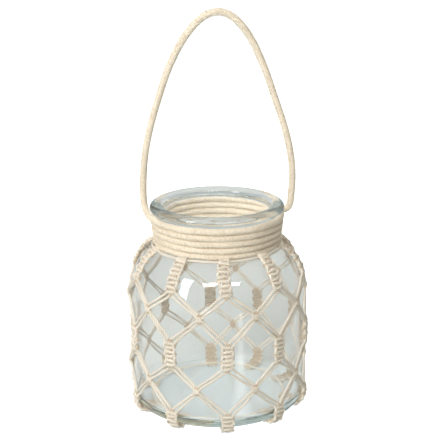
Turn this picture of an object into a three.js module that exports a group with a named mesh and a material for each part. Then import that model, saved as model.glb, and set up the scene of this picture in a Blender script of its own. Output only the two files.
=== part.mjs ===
// Hanging lantern: a thick glass jar with a rolled rim, a cotton rope wound five times round its neck and raised
// into a carrying loop, and a knotted net of thin cotton cord that hugs the jar and closes under its base.
// Millimetres, +Z up. The origin is the centre of the plane the lantern stands on. The loop lies in the X-Z plane,
// and -Y is the front.

import * as THREE from 'three';
import { TessellateModifier } from 'three/addons/modifiers/TessellateModifier.js';

// ---- Driving dimensions ----

const GAP = 0.3; // clearance left between touching pieces

const GLASS = {
  bodyRadius: 80,
  wall: 3.5,
  floorThickness: 8,
  undersideHeight: 4.8, // the jar stands this far up, on the knots that pass under it
  heelRadius: 9,
  innerHeelRadius: 8,
  shoulderStart: 110, // height where the straight side ends
  shoulderRise: 45,
  neckRadius: 52,
  rimRadius: 54.9, // to the middle of the rolled rim
  rimHalfWidth: 6.4,
  rimHalfHeight: 4.6,
  rimHeight: 189.5,
  steps: 48,
};

const ROPE = {
  diameter: 6,
  turns: 5,
  windingBottom: 155.4,
  windingTop: 184.6,
  pivotHeight: 187, // where the carrying loop leaves its leads
  sides: 10,
  loopSteps: 56,
  leadSteps: 6,
};

// The carrying loop's centre line, from the left pivot over the top to the right pivot: sideways, height.
const LOOP_POINTS = [
  [-65.2, ROPE.pivotHeight],
  [-66.8, 197],
  [-67, 212],
  [-65.6, 232],
  [-60.4, 258],
  [-51, 289],
  [-39.6, 320],
  [-24.5, 346],
  [-10, 360],
  [2, 363.7],
  [13.5, 360],
  [27, 346],
  [40.3, 320],
  [51.6, 289],
  [62, 258],
  [67.6, 232],
  [69.2, 212],
  [68.2, 197],
  [65.8, ROPE.pivotHeight],
];

// The leads that go on from the loop and run outside the turns: distance from the jar's axis, degrees from the
// loop's plane, height. Each starts far enough along for the stiff loop to swing down past it.
const LEFT_LEAD = [
  [62.1, 12.5, 176.8],
  [61.9, 18, 176],
  [61.9, 25, 175.4],
  [61.9, 33, 175.2],
];
const RIGHT_LEAD = [
  [62.4, 17, 182.3],
  [62, 22, 182],
  [61.9, 28, 181.9],
  [61.9, 35, 181.8],
];

const NET = {
  columns: 10,
  firstColumnAngle: THREE.MathUtils.degToRad(5.7), // of the column nearest the front, from -Y towards +X
  strand: 2.4,
  sinnetWidth: 10,
  sinnetThickness: 4.5,
  shoulderStep: 5, // longest straight stretches, so that the net can follow the glass
  sideStep: 25,
  heelStep: 3.4,
  longestEdge: 14,
  foundationLength: 7, // down the glass from the neck to the cord that the net hangs from
  shoulderSinnetEnd: 132.6, // the rest are heights
  upperCrossing: 111.2,
  sideSinnetStart: 87.1,
  sideSinnetEnd: 63.8,
  lowerCrossing: 43.3,
  baseSinnetStart: 19.3,
  baseRingRadius: 62,
  knotHalfWidth: 4.2,
  knotHalfHeight: 2.8,
  armHalfWidth: 2.4,
  armOffset: 2.8, // of each arm's end from the middle of the sinnet it leaves
  cordSides: 6,
};

// ---- Materials ----

const finish = (color, roughness) => new THREE.MeshStandardMaterial({ color, roughness, metalness: 0 });
const glassFinish = () => finish(0xc3cfd2, 0.06);
const ropeFinish = () => finish(0xeee3d0, 0.9);
const cordFinish = () => finish(0xe9dcc4, 0.95);

// ---- The jar's outline ----

const shoulderReach = GLASS.bodyRadius - GLASS.neckRadius;
const shoulderTop = GLASS.shoulderStart + GLASS.shoulderRise;
const heelTop = GLASS.undersideHeight + GLASS.heelRadius;
const flatRadius = GLASS.bodyRadius - GLASS.heelRadius;

/** An arc of an ellipse, in (radius, height), from one angle to another given in degrees from the outward level. */
function arc(radius, height, halfWidth, halfHeight, from, to) {
  const { degToRad } = THREE.MathUtils;
  return new THREE.EllipseCurve(radius, height, halfWidth, halfHeight, degToRad(from), degToRad(to), to < from);
}

const line = (r0, z0, r1, z1) => new THREE.LineCurve(new THREE.Vector2(r0, z0), new THREE.Vector2(r1, z1));

/** The outside of the glass as the net meets it: from the neck down the shoulder and side, and in under the base. */
function glassMeridian() {
  const path = new THREE.CurvePath();
  const shoulderCentre = GLASS.bodyRadius - shoulderReach;
  path.add(arc(shoulderCentre, GLASS.shoulderStart, shoulderReach, GLASS.shoulderRise, 90, 0));
  path.add(line(GLASS.bodyRadius, GLASS.shoulderStart, GLASS.bodyRadius, heelTop));
  path.add(arc(flatRadius, heelTop, GLASS.heelRadius, GLASS.heelRadius, 0, -90));
  path.add(line(flatRadius, GLASS.undersideHeight, 1, GLASS.undersideHeight));
  return path;
}

const meridian = glassMeridian();
const meridianLength = meridian.getLength();
const underside = meridianLength - (flatRadius - 1);

/** The point of the meridian at a distance down it, with the glass's outward direction there. */
function onMeridian(distance) {
  const t = THREE.MathUtils.clamp(distance / meridianLength, 0, 1);
  const along = meridian.getTangent(t);
  return { point: meridian.getPoint(t), outward: new THREE.Vector2(-along.y, along.x) };
}

/** The distance down the meridian to a height on the shoulder or the side. */
function distanceToHeight(height) {
  let high = 0;
  let low = underside;
  while (low - high > 0.01) {
    const middle = (low + high) / 2;
    if (onMeridian(middle).point.y > height) high = middle;
    else low = middle;
  }
  return high;
}

/** The glass: one closed outline turned about the axis. */
function glassJar() {
  const inner = GLASS.bodyRadius - GLASS.wall;
  const innerNeck = GLASS.rimRadius - GLASS.rimHalfWidth;
  const innerFlat = inner - GLASS.innerHeelRadius;
  const floor = GLASS.undersideHeight + GLASS.floorThickness;
  const innerRise = GLASS.shoulderRise - GLASS.wall;
  const footAngle = THREE.MathUtils.radToDeg(Math.acos((GLASS.neckRadius - GLASS.rimRadius) / GLASS.rimHalfWidth));
  const stretches = [
    [arc(flatRadius, heelTop, GLASS.heelRadius, GLASS.heelRadius, -90, 0), 4],
    [arc(GLASS.bodyRadius - shoulderReach, GLASS.shoulderStart, shoulderReach, GLASS.shoulderRise, 0, 90), 7],
    [arc(GLASS.rimRadius, GLASS.rimHeight, GLASS.rimHalfWidth, GLASS.rimHalfHeight, -footAngle, 180), 9],
    [arc(innerNeck, GLASS.shoulderStart, inner - innerNeck, innerRise, 90, 0), 6],
    [arc(innerFlat, floor + GLASS.innerHeelRadius, GLASS.innerHeelRadius, GLASS.innerHeelRadius, 0, -90), 3],
  ];
  const outline = stretches.flatMap(([curve, count]) => curve.getPoints(count));
  const profile = [new THREE.Vector2(0, GLASS.undersideHeight), ...outline, new THREE.Vector2(0, floor)];
  return turned(profile, GLASS.steps);
}

/** A profile of (radius, height) points turned about +Z. */
const turned = (profile, steps) => new THREE.LatheGeometry(profile, steps).rotateX(Math.PI / 2);

/** A ring of round cord about +Z. */
function ring(radius, height, thickness) {
  const outline = arc(radius, height, thickness / 2, thickness / 2, 0, 360).getPoints(NET.cordSides);
  return turned(outline, GLASS.steps);
}

// ---- The rope ----

/** The turns round the neck: a plain inner wall against the glass, with one bulge for each turn. */
function neckWinding() {
  const pitch = (ROPE.windingTop - ROPE.windingBottom) / ROPE.turns;
  const innerRadius = GLASS.neckRadius + GAP;
  const centreRadius = innerRadius + ROPE.diameter / 2;
  const bulge = 62; // degrees each side of level that show between neighbouring turns
  const profile = [new THREE.Vector2(innerRadius, ROPE.windingBottom)];
  for (let turn = 0; turn < ROPE.turns; turn += 1) {
    const height = ROPE.windingBottom + pitch * (turn + 0.5);
    profile.push(...arc(centreRadius, height, ROPE.diameter / 2, pitch / 2, -bulge, bulge).getPoints(3));
  }
  profile.push(new THREE.Vector2(innerRadius, ROPE.windingTop), profile[0].clone());
  return turned(profile, GLASS.steps);
}

/** A length of rope along a list of points. */
function rope(points, steps) {
  const section = new THREE.Shape().absarc(0, 0, ROPE.diameter / 2, 0, 2 * Math.PI);
  return new THREE.ExtrudeGeometry(section, {
    steps,
    curveSegments: ROPE.sides / 2, // three.js makes two sides for each segment of a full circle
    extrudePath: new THREE.CatmullRomCurve3(points),
  });
}

/** The carrying loop, which pivots about its two ends. */
const handleRope = () => rope(LOOP_POINTS.map(([x, z]) => new THREE.Vector3(x, 0, z)), ROPE.loopSteps);

/** A lead on one side of the jar: -1 on the left, from where it runs to the front, or 1 on the right, to the back. */
function loopLead(side, route) {
  const points = route.map(([reach, turn, height]) => {
    const angle = THREE.MathUtils.degToRad(turn);
    return new THREE.Vector3(side * reach * Math.cos(angle), side * reach * Math.sin(angle), height);
  });
  return rope(points, ROPE.leadSteps);
}

// ---- The net ----

/**
 * Bends a flat piece onto the glass. Its x runs round the jar to the right, its y up the meridian from a distance
 * down it, and its z out from the glass. Round the jar, x is a length at the given radius, or at the glass's own
 * radius where none is given.
 */
function laidOnGlass(geometry, distance, radius) {
  const position = geometry.getAttribute('position');
  for (let i = 0; i < position.count; i += 1) {
    const { point, outward } = onMeridian(distance - position.getY(i));
    const angle = position.getX(i) / (radius ?? point.x);
    const standoff = GAP + position.getZ(i);
    const reach = point.x + outward.x * standoff;
    position.setXYZ(i, reach * Math.sin(angle), -reach * Math.cos(angle), point.y + outward.y * standoff);
  }
  return geometry;
}

/** A sinnet: a flat column of square knots, running down the glass from one distance to another. */
function sinnet(from, to, step) {
  const length = to - from;
  const flat = new THREE.BoxGeometry(NET.sinnetWidth, length, NET.sinnetThickness, 2, Math.ceil(length / step), 1);
  flat.translate(0, -length / 2, NET.sinnetThickness / 2);
  return laidOnGlass(flat, from);
}

/** A knot where strands of neighbouring columns meet, with its four arms up and down to those columns' sinnets. */
function crossing(at, up, down) {
  const reach = (Math.PI / NET.columns) * GLASS.bodyRadius - NET.armOffset;
  const near = reach - NET.armHalfWidth;
  const far = reach + NET.armHalfWidth;
  const top = up - GAP;
  const bottom = GAP - down;
  const right = [
    [0, -NET.knotHalfHeight],
    [near, bottom],
    [far, bottom],
    [NET.knotHalfWidth, 0],
    [far, top],
    [near, top],
  ];
  const left = right.map(([x, y]) => [-x, y]).reverse();
  const corners = [...right, [0, NET.knotHalfHeight], ...left.slice(0, -1)];
  const outline = new THREE.Shape(corners.map(([x, y]) => new THREE.Vector2(x, y)));
  const flat = new THREE.ExtrudeGeometry(outline, { depth: NET.strand, bevelEnabled: false });
  return laidOnGlass(new TessellateModifier(NET.longestEdge).modify(flat), at, GLASS.bodyRadius);
}

// ---- Assembly ----

const lantern = new THREE.Group();

/** Adds a piece to the lantern, turned about the jar's axis. */
function add(name, geometry, material, angle = 0) {
  const mesh = new THREE.Mesh(geometry, material);
  mesh.name = name;
  mesh.rotation.z = angle;
  lantern.add(mesh);
}

add('glass_jar', glassJar(), glassFinish());
add('neck_winding', neckWinding(), ropeFinish());
add('left_lead', loopLead(-1, LEFT_LEAD), ropeFinish());
add('right_lead', loopLead(1, RIGHT_LEAD), ropeFinish());
add('handle_rope', handleRope(), ropeFinish());

const cordLift = GAP + NET.strand / 2;
const foundation = onMeridian(NET.foundationLength);
const foundationCentre = foundation.point.clone().addScaledVector(foundation.outward, cordLift);
add('foundation_cord', ring(foundationCentre.x, foundationCentre.y, NET.strand), cordFinish());
add('base_ring_cord', ring(NET.baseRingRadius, GLASS.undersideHeight - cordLift, NET.strand), cordFinish());

const shoulderFrom = NET.foundationLength + NET.strand / 2 + GAP;
const shoulderTo = distanceToHeight(NET.shoulderSinnetEnd);
const upperAt = distanceToHeight(NET.upperCrossing);
const sideFrom = distanceToHeight(NET.sideSinnetStart);
const sideTo = distanceToHeight(NET.sideSinnetEnd);
const lowerAt = distanceToHeight(NET.lowerCrossing);
const baseFrom = distanceToHeight(NET.baseSinnetStart);
const baseTo = underside + flatRadius - NET.baseRingRadius - NET.strand / 2 - GAP;

const columnTurn = (2 * Math.PI) / NET.columns;
for (let column = 0; column < NET.columns; column += 1) {
  const number = String(column + 1).padStart(2, '0');
  const angle = NET.firstColumnAngle + column * columnTurn;
  const between = angle + columnTurn / 2;
  add(`shoulder_sinnet_${number}`, sinnet(shoulderFrom, shoulderTo, NET.shoulderStep), cordFinish(), angle);
  add(`upper_crossing_${number}`, crossing(upperAt, upperAt - shoulderTo, sideFrom - upperAt), cordFinish(), between);
  add(`side_sinnet_${number}`, sinnet(sideFrom, sideTo, NET.sideStep), cordFinish(), angle);
  add(`lower_crossing_${number}`, crossing(lowerAt, lowerAt - sideTo, baseFrom - lowerAt), cordFinish(), between);
  add(`base_sinnet_${number}`, sinnet(baseFrom, baseTo, NET.heelStep), cordFinish(), angle);
}

export default lantern;
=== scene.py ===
"""Hanging lantern: a thick glass jar, a braided rope wound round its neck and raised into a carrying loop, and a
knotted net of twisted cotton cord over the glass.

Shapes are worked out in millimetres about the jar's axis, +Z up, with -Y at the front, and become metres as each
mesh is made. Angles round the jar are in radians and run from the front towards +X. A place on the glass is an
angle, a distance down the outline from the neck, and a height off the glass.
"""

import logging
import math
from dataclasses import dataclass, field
from enum import Enum

import bpy
import numpy as np
from mathutils import Matrix, Vector

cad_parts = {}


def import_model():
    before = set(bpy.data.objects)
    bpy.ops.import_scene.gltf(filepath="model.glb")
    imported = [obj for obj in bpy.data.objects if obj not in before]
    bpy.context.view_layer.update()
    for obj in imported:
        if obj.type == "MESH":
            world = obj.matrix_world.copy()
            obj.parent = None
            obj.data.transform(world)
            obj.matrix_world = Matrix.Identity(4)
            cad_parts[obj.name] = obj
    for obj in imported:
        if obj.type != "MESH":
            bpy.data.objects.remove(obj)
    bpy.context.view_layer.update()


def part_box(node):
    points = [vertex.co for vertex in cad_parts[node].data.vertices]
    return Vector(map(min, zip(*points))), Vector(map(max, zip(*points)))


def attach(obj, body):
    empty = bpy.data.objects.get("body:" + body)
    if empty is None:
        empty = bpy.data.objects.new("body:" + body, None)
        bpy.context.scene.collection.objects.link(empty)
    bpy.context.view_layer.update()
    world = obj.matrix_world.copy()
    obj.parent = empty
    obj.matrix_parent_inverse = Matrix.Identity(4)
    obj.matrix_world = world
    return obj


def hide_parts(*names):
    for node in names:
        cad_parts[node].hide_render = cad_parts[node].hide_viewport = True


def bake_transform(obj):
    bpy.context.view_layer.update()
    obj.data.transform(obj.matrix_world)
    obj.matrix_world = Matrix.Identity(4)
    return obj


MM = 0.001
log = logging.getLogger("lantern")


class Body(Enum):
    """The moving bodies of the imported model."""

    LANTERN = "lantern"
    LOOP = "carrying_loop"


class Slot(Enum):
    """The record's material slots."""

    GLASS = "clear_glass"
    ROPE = "cotton_rope"
    CORD = "cotton_cord"


class Role(Enum):
    """What a lamp is for."""

    LIGHT = "lights the cotton and the floor, and isn't mirrored in the glass"
    GLINT = "is only mirrored in the glass"


class Part(Enum):
    """What a strand does in a square knot."""

    FRONT = "passes over the front"
    BACK = "passes behind and comes round the sides"
    FILLER = "runs straight through the middle"


# ---- Small tools for numbers, meshes and nodes ----


def smooth(low: float, high: float, value: np.ndarray) -> np.ndarray:
    """A soft step.

    Args:
        low: where the step starts.
        high: where it ends.
        value: the places to look at.

    Returns:
        0 before low, 1 after high, and a smooth rise between.
    """
    t = np.clip((value - low) / (high - low), 0.0, 1.0)
    return t * t * (3.0 - 2.0 * t)


def along(points: np.ndarray) -> np.ndarray:
    """The distance of each point along the line through them."""
    return np.concatenate([[0.0], np.cumsum(np.linalg.norm(np.diff(points, axis=0), axis=1))])


def spaced(points: np.ndarray, step: float, *others: np.ndarray) -> tuple[np.ndarray, ...]:
    """Spaces a line evenly.

    Args:
        points: the line, one row a point.
        step: the distance wanted between its points.
        others: values that go with the points, carried along.

    Returns:
        The even points and the values at them.
    """
    distance = along(points)
    count = max(2, int(round(distance[-1] / step)) + 1)
    even = np.linspace(0.0, distance[-1], count)
    line = np.stack([np.interp(even, distance, points[:, k]) for k in range(points.shape[1])], axis=1)
    return (line, *(np.interp(even, distance, other) for other in others))


def softened(points: np.ndarray, reach: float, step: float) -> np.ndarray:
    """Rounds the corners of an evenly spaced line.

    Args:
        points: the line.
        reach: the standard deviation of the rounding, as a length.
        step: the distance between the points.

    Returns:
        The rounded line, with its ends where they were.
    """
    half = max(1, int(3 * reach / step))
    weights = np.exp(-0.5 * (np.arange(-half, half + 1) * step / reach) ** 2)
    weights /= weights.sum()
    before = 2 * points[0] - points[1 : half + 1][::-1]
    after = 2 * points[-1] - points[-half - 1 : -1][::-1]
    padded = np.concatenate([before, points, after])
    return np.stack([np.convolve(padded[:, k], weights, "valid") for k in range(points.shape[1])], axis=1)


def through(knots: np.ndarray, per_span: int = 24) -> np.ndarray:
    """A centripetal Catmull-Rom curve.

    Args:
        knots: the points that it passes through.
        per_span: how many points are made between one and the next.

    Returns:
        The points of the curve.
    """
    ends = np.concatenate([[2 * knots[0] - knots[1]], knots, [2 * knots[-1] - knots[-2]]])
    share = np.linspace(0.0, 1.0, per_span, endpoint=False)[:, None]
    spans = []
    for p0, p1, p2, p3 in zip(ends, ends[1:], ends[2:], ends[3:]):
        gaps = [max(math.sqrt(float(np.linalg.norm(b - a))), 1e-6) for a, b in ((p0, p1), (p1, p2), (p2, p3))]
        t1 = gaps[0]
        t2 = t1 + gaps[1]
        t3 = t2 + gaps[2]
        t = t1 + share * gaps[1]
        a1 = (t1 - t) / t1 * p0 + t / t1 * p1
        a2 = (t2 - t) / gaps[1] * p1 + (t - t1) / gaps[1] * p2
        a3 = (t3 - t) / gaps[2] * p2 + (t - t2) / gaps[2] * p3
        b1 = (t2 - t) / t2 * a1 + t / t2 * a2
        b2 = (t3 - t) / (t3 - t1) * a2 + (t - t1) / (t3 - t1) * a3
        spans.append((t2 - t) / gaps[1] * b1 + (t - t1) / gaps[1] * b2)
    return np.concatenate([*spans, knots[-1:]])


def carried_normals(points: np.ndarray, first: np.ndarray) -> tuple[np.ndarray, np.ndarray]:
    """Carries a sideways direction along a line without twisting it.

    Args:
        points: the line.
        first: about which way the sideways direction starts.

    Returns:
        The unit tangents and the unit sideways directions.
    """
    tangent = np.gradient(points, axis=0)
    tangent /= np.linalg.norm(tangent, axis=1)[:, None]
    normal = np.empty_like(points)
    start = first - (first @ tangent[0]) * tangent[0]
    normal[0] = start / np.linalg.norm(start)
    for i in range(len(points) - 1):
        step = points[i + 1] - points[i]
        square = step @ step
        mirrored = normal[i] - (2.0 / square) * (step @ normal[i]) * step
        turned = tangent[i] - (2.0 / square) * (step @ tangent[i]) * step
        back = tangent[i + 1] - turned
        length = back @ back
        normal[i + 1] = mirrored - (2.0 / length) * (back @ mirrored) * back if length > 1e-12 else mirrored
    return tangent, normal / np.linalg.norm(normal, axis=1)[:, None]


@dataclass
class MeshParts:
    """Vertices, faces and the values that go with them, gathered from several shapes into one mesh.

    Lengths are millimetres. The relief is 1 on a crown and 0 in a hollow between plies or yarns, and paints the
    cotton darker there as shade. The map holds the distance along a cord and the share of the way round it.
    """

    name: str
    points: list[np.ndarray] = field(default_factory=list)
    faces: list[np.ndarray] = field(default_factory=list)
    corners: list[np.ndarray] = field(default_factory=list)
    relief: list[np.ndarray] = field(default_factory=list)
    count: int = 0

    def add(self, points: np.ndarray, faces: list[np.ndarray], corners: list[np.ndarray], relief: np.ndarray) -> None:
        """Adds a shape.

        Args:
            points: its vertices.
            faces: arrays of faces, each with one number of corners.
            corners: for each of those arrays, the map's two values at every corner.
            relief: the relief of each vertex.
        """
        self.points.append(points)
        self.relief.append(relief)
        for rows, values in zip(faces, corners):
            self.faces.append(rows + self.count)
            self.corners.append(values.reshape(-1, 2))
        self.count += len(points)

    def build(self) -> bpy.types.Object:
        """Makes the mesh and its object, in metres."""
        mesh = bpy.data.meshes.new(self.name)
        points = np.concatenate(self.points) * MM
        sizes = np.concatenate([np.full(len(f), f.shape[1]) for f in self.faces])
        loops = np.concatenate([f.ravel() for f in self.faces])
        mesh.vertices.add(len(points))
        mesh.vertices.foreach_set("co", points.astype(np.float32).ravel())
        mesh.loops.add(len(loops))
        mesh.loops.foreach_set("vertex_index", loops.astype(np.int32))
        mesh.polygons.add(len(sizes))
        starts = np.concatenate([[0], np.cumsum(sizes)[:-1]])
        mesh.polygons.foreach_set("loop_start", starts.astype(np.int32))
        mesh.polygons.foreach_set("use_smooth", np.ones(len(sizes), bool))
        layer = mesh.uv_layers.new(name=CORD_MAP)
        layer.uv.foreach_set("vector", np.concatenate(self.corners).astype(np.float32).ravel())
        relief = mesh.attributes.new(RELIEF, "FLOAT", "POINT")
        relief.data.foreach_set("value", np.concatenate(self.relief).astype(np.float32))
        mesh.update(calc_edges=True)
        mesh.validate()
        piece = bpy.data.objects.new(self.name, mesh)
        bpy.context.scene.collection.objects.link(piece)
        return piece


CORD_MAP = "along_and_round"
RELIEF = "relief"


def dress(piece: bpy.types.Object, material: bpy.types.Material, slot: Slot, body: Body | None, *nodes: str) -> None:
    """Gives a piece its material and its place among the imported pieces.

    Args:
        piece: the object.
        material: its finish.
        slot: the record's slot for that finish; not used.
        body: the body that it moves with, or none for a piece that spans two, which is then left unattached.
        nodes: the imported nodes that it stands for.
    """
    piece.data.materials.clear()
    piece.data.materials.append(material)
    if body is not None:
        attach(piece, body.value)
    if nodes:
        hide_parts(*nodes)


class NodeSheet:
    """A node tree, written one node at a time."""

    def __init__(self, tree: bpy.types.NodeTree) -> None:
        """Starts an empty tree."""
        self.tree = tree
        tree.nodes.clear()

    def add(self, kind: str, inputs: dict | None = None, **settings: object) -> bpy.types.Node:
        """Adds a node.

        Args:
            kind: the node's Blender type.
            inputs: a value, or a socket to link, for each named or numbered input.
            settings: the node's own properties.

        Returns:
            The node.
        """
        node = self.tree.nodes.new(kind)
        for name, value in settings.items():
            setattr(node, name, value)
        for key, value in (inputs or {}).items():
            socket = node.inputs[key]
            if isinstance(value, bpy.types.NodeSocket):
                self.tree.links.new(value, socket)
            else:
                socket.default_value = value
        return node

    def math(self, operation: str, *values: object) -> bpy.types.NodeSocket:
        """A Math node's result, from numbers and sockets."""
        return self.add("ShaderNodeMath", dict(enumerate(values)), operation=operation).outputs[0]

    def noise(self, vector: bpy.types.NodeSocket, scale: float, detail: float = 2.0) -> bpy.types.NodeSocket:
        """Noise from 0 to 1 at a place."""
        inputs = {"Vector": vector, "Scale": scale, "Detail": detail}
        return self.add("ShaderNodeTexNoise", inputs).outputs[0]

    def bump(self, height: bpy.types.NodeSocket, strength: float, distance: float) -> bpy.types.NodeSocket:
        """The normal over a height."""
        return self.add("ShaderNodeBump", {"Strength": strength, "Distance": distance, "Height": height}).outputs[0]

    def ranged(
        self, value: bpy.types.NodeSocket, window: tuple[float, float], result: tuple[float, float] = (0.0, 1.0)
    ) -> bpy.types.NodeSocket:
        """A value stretched from one range to another, and kept inside it."""
        inputs = dict(enumerate((value, *window, *result)))
        return self.add("ShaderNodeMapRange", inputs).outputs[0]

    def ramp(self, value: bpy.types.NodeSocket, *stops: tuple[float, tuple[float, ...]]) -> bpy.types.NodeSocket:
        """A colour ramp.

        Args:
            value: what it reads.
            stops: each stop's place and colour.

        Returns:
            The colour.
        """
        node = self.add("ShaderNodeValToRGB", {0: value})
        elements = node.color_ramp.elements
        while len(elements) < len(stops):
            elements.new(0.5)
        for element, (place, colour) in zip(elements, stops):
            element.position = place
            element.color = (*colour, 1.0)
        return node.outputs[0]

    def mixed(self, share: object, first: object, second: object, blend: str = "MIX") -> bpy.types.NodeSocket:
        """Two colours mixed.

        Args:
            share: how much of the second, as a number or a socket.
            first: a colour or a socket.
            second: a colour or a socket.
            blend: how they mix.

        Returns:
            The mixed colour.
        """
        node = self.add("ShaderNodeMix", data_type="RGBA", blend_type=blend)
        for socket, value in zip((node.inputs[0], node.inputs[6], node.inputs[7]), (share, first, second)):
            if isinstance(value, bpy.types.NodeSocket):
                self.tree.links.new(value, socket)
            else:
                socket.default_value = value if isinstance(value, float) else (*value, 1.0)
        return node.outputs[2]


def new_material(name: str) -> tuple[bpy.types.Material, NodeSheet]:
    """A named material with an empty node tree."""
    material = bpy.data.materials.new(name)
    material.use_nodes = True
    return material, NodeSheet(material.node_tree)


# ---- Finishes ----


@dataclass(frozen=True)
class GlassFinish:
    """Clear glass with a faint blue-grey tint, and small ripples left by the mould."""

    tint: tuple[float, float, float] = (0.97, 0.962, 0.948)
    refraction: float = 1.5
    depth_colour: tuple[float, float, float] = (0.30, 0.62, 0.52)
    depth_density: float = 2.0
    ripple_scale: float = 38.0
    seed_scale: float = 900.0
    seed_share: float = 0.006
    bump_strength: float = 0.05
    bump_distance: float = 0.0022
    cloud_scale: float = 21.0
    cloud_window: tuple[float, float] = (0.35, 0.7)
    roughness: tuple[float, float] = (0.008, 0.03)
    shadow_tint: tuple[float, float, float] = (0.985, 0.99, 0.99)

    def material(self) -> bpy.types.Material:
        """Makes the material."""
        material, sheet = new_material("clear_glass")
        place = sheet.add("ShaderNodeTexCoord").outputs["Object"]
        ripple = sheet.noise(place, self.ripple_scale, 1.5)
        fine = sheet.noise(place, self.seed_scale, 1.0)
        height = sheet.math("ADD", ripple, sheet.math("MULTIPLY", fine, self.seed_share))
        bump = sheet.bump(height, self.bump_strength, self.bump_distance)
        rough = sheet.ranged(sheet.noise(place, self.cloud_scale, 2.0), self.cloud_window, self.roughness)
        glass = sheet.add(
            "ShaderNodeBsdfPrincipled",
            {
                "Base Color": (*self.tint, 1.0),
                "Roughness": rough,
                "IOR": self.refraction,
                "Transmission Weight": 1.0,
                "Normal": bump,
            },
        )
        clear = sheet.add("ShaderNodeBsdfTransparent", {"Color": (*self.shadow_tint, 1.0)})
        shadow = sheet.add("ShaderNodeLightPath").outputs["Is Shadow Ray"]
        both = sheet.add("ShaderNodeMixShader", {0: shadow, 1: glass.outputs[0], 2: clear.outputs[0]})
        depth = sheet.add(
            "ShaderNodeVolumeAbsorption", {"Color": (*self.depth_colour, 1.0), "Density": self.depth_density}
        )
        sheet.add("ShaderNodeOutputMaterial", {"Surface": both.outputs[0], "Volume": depth.outputs[0]})
        return material


@dataclass(frozen=True)
class CottonFinish:
    """Natural cotton yarn: fibres that follow the lay, painted shade in the grooves, and slow changes of tone."""

    name: str
    crown: tuple[float, float, float]
    # The groove colour is painted shade: the dark tan of the hollows between plies or yarns.
    groove_shade: tuple[float, float, float]
    fleck: tuple[float, float, float]
    fibre_pitch: float
    fibre_slant: float
    fibre_relief: float
    round_length: float
    groove_share: float
    fleck_scale: float
    fleck_share: float
    fleck_window: tuple[float, float] = (0.50, 0.64)
    wander_scale: float = 900.0
    wander_share: float = 1.6
    fuzz_scale: float = 5200.0
    fuzz_window: tuple[float, float] = (0.3, 0.7)
    fibre_share: float = 0.35
    bump_strength: float = 0.75
    drift_scale: float = 60.0
    drift_dark: tuple[float, float, float] = (0.93, 0.92, 0.90)
    drift_light: tuple[float, float, float] = (1.03, 1.03, 1.03)
    roughness: tuple[float, float] = (0.78, 0.97)
    specular: float = 0.25
    sheen: float = 0.22
    sheen_tint: tuple[float, float, float] = (1.0, 0.97, 0.92)

    def material(self) -> bpy.types.Material:
        """Makes the material."""
        material, sheet = new_material(self.name)
        cord_map = sheet.add("ShaderNodeUVMap", uv_map=CORD_MAP).outputs[0]
        place = sheet.add("ShaderNodeTexCoord").outputs["Object"]
        relief = sheet.add("ShaderNodeAttribute", attribute_name=RELIEF).outputs["Fac"]
        parts = sheet.add("ShaderNodeSeparateXYZ", {0: cord_map})
        lengthways = parts.outputs[0]
        roundways = sheet.math("MULTIPLY", parts.outputs[1], self.round_length)
        slanted = sheet.math("ADD", roundways, sheet.math("MULTIPLY", lengthways, self.fibre_slant))
        wander = sheet.math("MULTIPLY", sheet.noise(place, self.wander_scale, 2.0), self.wander_share)
        phase = sheet.math("ADD", sheet.math("DIVIDE", slanted, self.fibre_pitch), wander)
        fibre = sheet.math("SINE", sheet.math("MULTIPLY", phase, 2.0 * math.pi))
        fuzz = sheet.noise(place, self.fuzz_scale, 3.0)
        height = sheet.math("ADD", sheet.math("MULTIPLY", fibre, self.fibre_share), fuzz)
        # Painted shade: the colour runs from the dark groove colour in the hollows up to the crown colour on top.
        shade = sheet.ramp(relief, (0.0, self.groove_shade), (self.groove_share, self.crown))
        spots, full = self.fleck_window
        flecks = sheet.ramp(sheet.noise(place, self.fleck_scale, 3.0), (spots, (0.0,) * 3), (full, (1.0,) * 3))
        flecked = sheet.mixed(sheet.math("MULTIPLY", flecks, self.fleck_share), shade, self.fleck)
        drift = sheet.ramp(sheet.noise(place, self.drift_scale, 3.0), (0.3, self.drift_dark), (0.7, self.drift_light))
        colour = sheet.mixed(1.0, flecked, drift, "MULTIPLY")
        cotton = sheet.add(
            "ShaderNodeBsdfPrincipled",
            {
                "Base Color": colour,
                "Roughness": sheet.ranged(fuzz, self.fuzz_window, self.roughness),
                "Specular IOR Level": self.specular,
                "Sheen Weight": self.sheen,
                "Sheen Roughness": 0.5,
                "Sheen Tint": (*self.sheen_tint, 1.0),
                "Normal": sheet.bump(height, self.bump_strength, self.fibre_relief),
            },
        )
        sheet.add("ShaderNodeOutputMaterial", {"Surface": cotton.outputs[0]})
        return material


@dataclass(frozen=True)
class FloorFinish:
    """The plain pale sheet that the lantern stands on, burnt out to white where the camera sees it directly."""

    colour: tuple[float, float, float] = (0.74, 0.80, 0.83)
    glow: float = 0.8

    def material(self) -> bpy.types.Material:
        """Makes the material."""
        material, sheet = new_material("pale_floor")
        direct = sheet.add("ShaderNodeLightPath").outputs["Is Camera Ray"]
        paper = sheet.add(
            "ShaderNodeBsdfPrincipled",
            {
                "Base Color": (*self.colour, 1.0),
                "Roughness": 0.9,
                "Specular IOR Level": 0.1,
                "Emission Color": (1.0, 1.0, 1.0, 1.0),
                "Emission Strength": sheet.math("MULTIPLY", direct, self.glow),
            },
        )
        sheet.add("ShaderNodeOutputMaterial", {"Surface": paper.outputs[0]})
        return material


# Each groove colour below is painted shade for the hollows between plies or yarns; the crown colour is the cotton's
# own.
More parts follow.
